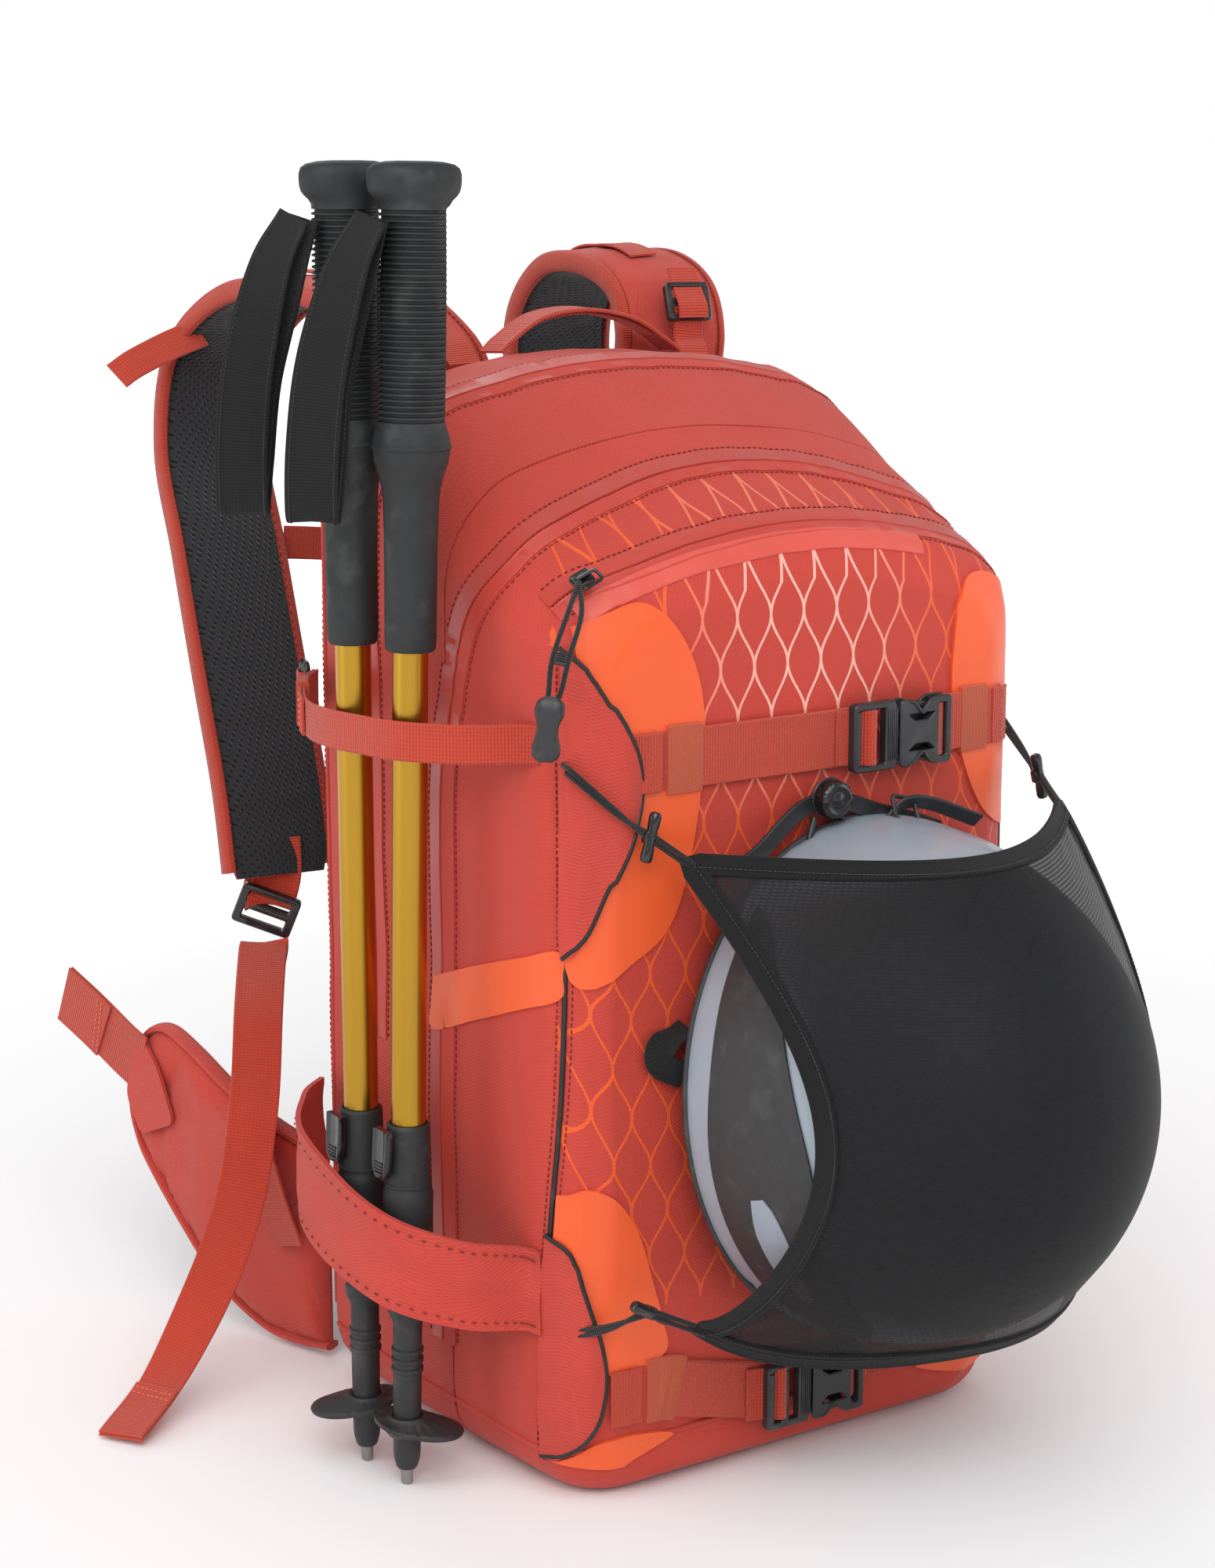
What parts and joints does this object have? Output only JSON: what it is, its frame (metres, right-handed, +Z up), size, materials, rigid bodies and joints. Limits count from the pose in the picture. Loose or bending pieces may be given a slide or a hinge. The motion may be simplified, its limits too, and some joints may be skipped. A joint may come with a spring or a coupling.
{
  "type": "ski backpack",
  "caption": "Coral touring backpack with compression straps, harness and hip belt, carrying trekking poles and a helmet in a front net.",
  "frame": {"origin": "middle of the pack's flat base, where it meets the floor", "axes": "+Z up; -Y towards the front with the helmet; +Y towards the wearer; -X the side with the poles"},
  "size_m": [0.6192, 0.6942, 0.6818],
  "materials": {
    "coral_fabric": "woven ripstop nylon, matt",
    "webbing": "ribbed polyester webbing",
    "black_webbing": "black polyester webbing",
    "back_mesh": "black spacer mesh over foam",
    "net_mesh": "open stretch mesh",
    "black_plastic": "moulded acetal",
    "frame_plastic": "sheet polyethylene",
    "pole_rubber": "moulded grip compound",
    "gold_tube": "gold anodised tube",
    "pole_rod": "bright tube with a black ferrule",
    "zip_metal": "black coated slider",
    "helmet_shell": "pale blue satin shell",
    "helmet_liner": "black foam liner"
  },
  "bodies": {
    "pack": {"main_compartment": "coral_fabric", "front_compartment": "coral_fabric", "frame_sheet": "frame_plastic", "back_panel": "back_mesh", "pole_loop_left": "coral_fabric", "pole_loop_right": "coral_fabric", "haul_loop": "webbing", "shoulder_strap_left": "coral_fabric", "shoulder_strap_right": "coral_fabric", "strap_webbing_left": "webbing", "strap_webbing_right": "webbing", "ladder_lock_left": "black_plastic", "ladder_lock_right": "black_plastic", "load_lifter_left": "webbing", "load_lifter_right": "webbing", "lifter_buckle_left": "black_plastic", "lifter_buckle_right": "black_plastic", "sternum_strap": "webbing", "sternum_buckle": "black_plastic", "side_strap_left": "webbing", "side_strap_right": "webbing", "side_hook_left": "black_plastic", "side_hook_right": "black_plastic", "strap_upper_left": "webbing", "strap_upper_right": "webbing", "strap_lower_left": "webbing", "strap_lower_right": "webbing", "buckle_upper_socket": "black_plastic", "buckle_lower_socket": "black_plastic", "helmet_net": "net_mesh", "net_toggle_top_left": "black_plastic", "net_toggle_top_right": "black_plastic", "net_toggle_bottom_left": "black_plastic", "helmet_shell": "helmet_shell", "helmet_liner": "helmet_liner"},
    "wing_left": {"hip_wing_left": "coral_fabric", "hip_webbing_left": "webbing"},
    "wing_right": {"hip_wing_right": "coral_fabric", "hip_webbing_right": "webbing", "hip_buckle": "black_plastic"},
    "upper_prong": {"buckle_upper_prong": "black_plastic"},
    "lower_prong": {"buckle_lower_prong": "black_plastic"},
    "pocket_slider": {"zip_slider_pocket": "zip_metal"},
    "pull_grip": {"zip_pull_grip": "black_plastic"},
    "main_slider": {"zip_slider_main": "zip_metal"},
    "dial": {"fit_dial": "black_plastic"},
    "pole_near_lower": {"lower_shaft_near": "pole_rod", "basket_near": "pole_rubber"},
    "pole_near_upper": {"upper_shaft_near": "gold_tube", "pole_grip_near": "pole_rubber", "wrist_strap_near": "black_webbing", "lock_collar_near": "black_plastic"},
    "lever_near": {"lock_lever_near": "black_plastic"},
    "pole_far_lower": {"lower_shaft_far": "pole_rod", "basket_far": "pole_rubber"},
    "pole_far_upper": {"upper_shaft_far": "gold_tube", "pole_grip_far": "pole_rubber", "wrist_strap_far": "black_webbing", "lock_collar_far": "black_plastic"},
    "lever_far": {"lock_lever_far": "black_plastic"}
  },
  "joints": [
    {"name": "wing_left_swing", "type": "hinge", "parent": "pack", "child": "wing_left", "pos_m": [-0.148, 0.124, 0], "axis": [0, 0, 1], "range_deg": [-30, 0]},
    {"name": "wing_right_swing", "type": "hinge", "parent": "pack", "child": "wing_right", "pos_m": [0.148, 0.124, 0], "axis": [0, 0, 1], "range_deg": [0, 30]},
    {"name": "upper_prong_slide", "type": "slide", "parent": "pack", "child": "upper_prong", "axis": [-1, 0, 0], "range_m": [0, 0.03]},
    {"name": "lower_prong_slide", "type": "slide", "parent": "pack", "child": "lower_prong", "axis": [-1, 0, 0], "range_m": [0, 0.03]},
    {"name": "pocket_zip", "type": "hinge", "parent": "pack", "child": "pocket_slider", "pos_m": [0, -0.111, 0.173], "axis": [0, 1, 0], "range_deg": [0, 44]},
    {"name": "pull_swing", "type": "hinge", "parent": "pocket_slider", "child": "pull_grip", "pos_m": [-0.13482, -0.119, 0.48208], "axis": [-0.9239, 0, -0.3827], "range_deg": [0, 50]},
    {"name": "main_zip", "type": "slide", "parent": "pack", "child": "main_slider", "axis": [0, 0, 1], "range_m": [0, 0.14]},
    {"name": "dial_turn", "type": "hinge", "parent": "pack", "child": "dial", "pos_m": [0.003, -0.1465, 0.362], "axis": [0, -1, 0], "continuous": true},
    {"name": "pole_near_lift", "type": "slide", "parent": "pack", "child": "pole_near_lower", "axis": [0.0206, 0, 0.9998], "range_m": [0, 0.03]},
    {"name": "pole_near_extend", "type": "slide", "parent": "pole_near_lower", "child": "pole_near_upper", "axis": [0.0206, 0, 0.9998], "range_m": [0, 0.14]},
    {"name": "lever_near_open", "type": "hinge", "parent": "pole_near_upper", "child": "lever_near", "pos_m": [-0.20799, -0.047, 0.19497], "axis": [0, 1, 0], "range_deg": [0, 90]},
    {"name": "pole_far_lift", "type": "slide", "parent": "pack", "child": "pole_far_lower", "axis": [0, 0, 1], "range_m": [0, 0.03]},
    {"name": "pole_far_extend", "type": "slide", "parent": "pole_far_lower", "child": "pole_far_upper", "axis": [0, 0, 1], "range_m": [0, 0.14]},
    {"name": "lever_far_open", "type": "hinge", "parent": "pole_far_upper", "child": "lever_far", "pos_m": [-0.215, -0.01, 0.1945], "axis": [0, 1, 0], "range_deg": [0, 90]}
  ]
}
